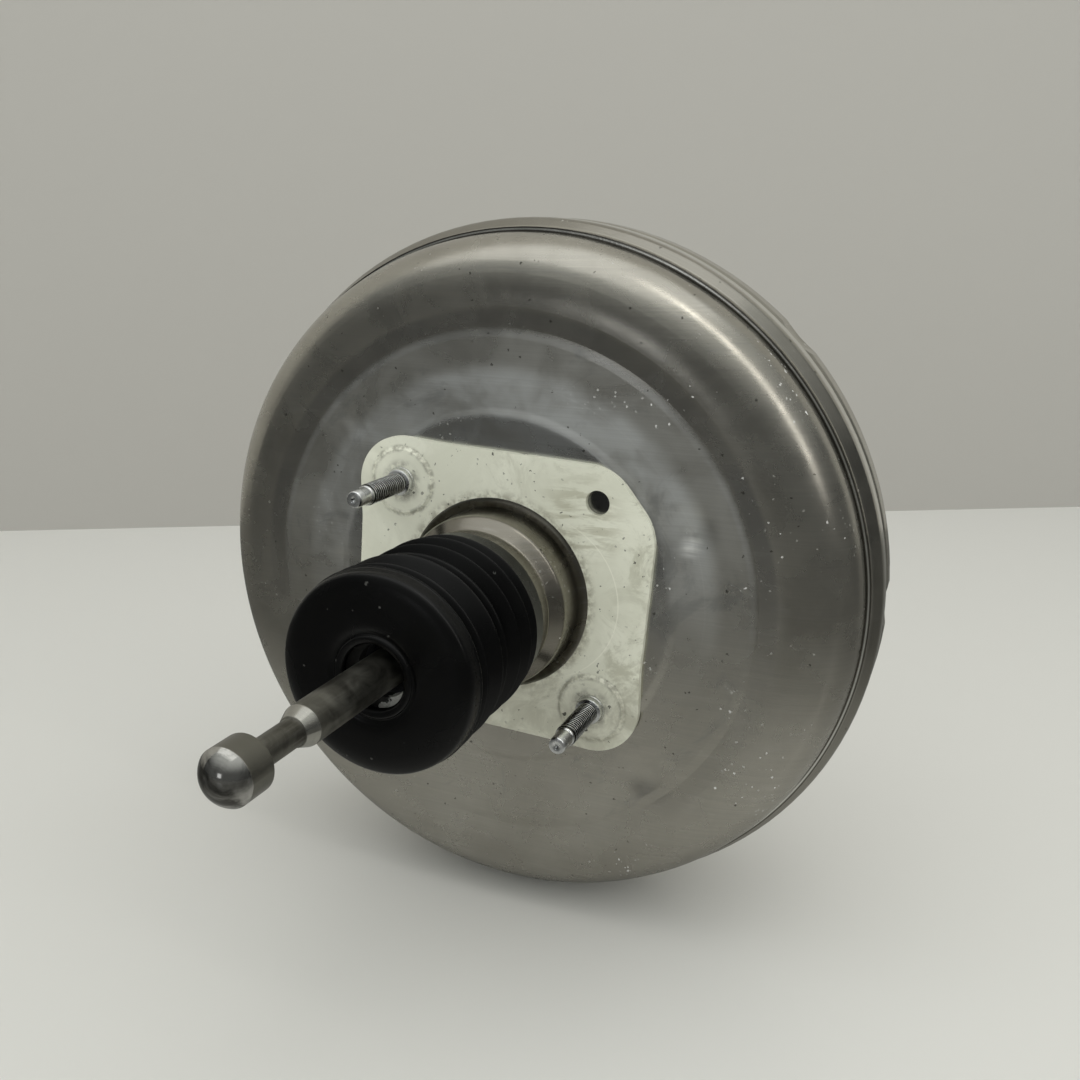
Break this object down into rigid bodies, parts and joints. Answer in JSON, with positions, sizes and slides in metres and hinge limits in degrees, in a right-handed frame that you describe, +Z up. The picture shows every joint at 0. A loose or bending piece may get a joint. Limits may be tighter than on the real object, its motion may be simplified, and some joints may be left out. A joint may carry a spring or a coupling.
{
  "type": "brake booster",
  "caption": "Vacuum brake booster: a pressed two-part drum with a bellows boot, a pedal push rod and through bolts that carry it between bulkhead and master cylinder.",
  "frame": {"origin": "centre of the mounting plate's outer face, midway between the two rear studs, on the booster's axis", "axes": "+Y along the booster's axis towards the master cylinder, -Y towards the brake pedal, +Z up as it stands on its rim, +X to the right when seen from the pedal"},
  "size_m": [0.2774, 0.2914, 0.2774],
  "materials": {
    "shell_aluminium": "rolled, weathered satin",
    "wall_aluminium": "satin",
    "plate_coated": "matte coating, stained",
    "bolt_zinc": "zinc plated",
    "steel_bare": "satin",
    "rod_steel": "phosphated, turned bright at the taper",
    "spring_steel": "satin",
    "rubber_black": "matte",
    "rubber_boot": "satin",
    "plastic_black": "moulded satin",
    "plastic_body": "moulded phenolic",
    "filter_foam": "open foam",
    "felt_white": "felt"
  },
  "bodies": {
    "housing": {"rear_shell": "shell_aluminium", "front_shell": "shell_aluminium", "mounting_plate": "plate_coated", "tie_bolts": "bolt_zinc", "tie_bolt_o_rings": "rubber_black", "front_reinforcement": "steel_bare", "neck_guide": "plastic_black", "neck_seal": "rubber_black", "check_valve_grommet": "rubber_black", "check_valve_base": "plastic_black", "check_valve_elbow": "plastic_black", "check_valve_spring": "spring_steel"},
    "power_piston": {"valve_body": "plastic_body", "plunger_key": "steel_bare", "diaphragm_plate": "wall_aluminium", "diaphragm": "rubber_black", "diaphragm_ring": "steel_bare", "bolt_slide_seals": "rubber_black", "return_spring": "spring_steel", "reaction_disc": "rubber_black", "output_rod": "rod_steel", "output_rod_cap": "steel_bare", "poppet_valve": "rubber_black", "poppet_retainer": "steel_bare", "poppet_spring": "spring_steel", "air_filter": "filter_foam", "silencer": "felt_white", "boot": "rubber_boot"},
    "plunger": {"valve_plunger": "steel_bare"},
    "pedal_rod": {"push_rod": "rod_steel", "rod_spring_seat": "steel_bare", "rod_return_spring": "spring_steel"},
    "vacuum_flap": {"check_valve_disc": "rubber_black"}
  },
  "joints": [
    {"name": "booster_stroke", "type": "slide", "parent": "housing", "child": "power_piston", "axis": [0, 1, 0], "range_m": [0, 0.034], "stiffness_N_per_m": 3000, "springref_m": -0.04, "deforming": ["return_spring", "boot", "diaphragm"]},
    {"name": "valve_travel", "type": "slide", "parent": "power_piston", "child": "plunger", "axis": [0, 1, 0], "range_m": [0, 0.0012], "stiffness_N_per_m": 4000, "springref_m": -0.005, "deforming": ["rod_return_spring", "poppet_spring", "poppet_valve"]},
    {"name": "rod_tilt", "type": "hinge", "parent": "plunger", "child": "pedal_rod", "pos_m": [0, -0.008, 0], "axis": [1, 0, 0], "range_deg": [-2, 2], "stiffness_Nm_per_rad": 12, "springref_deg": -0.59, "deforming": ["rod_return_spring"]},
    {"name": "check_valve_lift", "type": "slide", "parent": "housing", "child": "vacuum_flap", "axis": [0, 1, 0], "range_m": [0, 0.0015], "stiffness_N_per_m": 50, "springref_m": -0.002, "deforming": ["check_valve_spring"]}
  ]
}
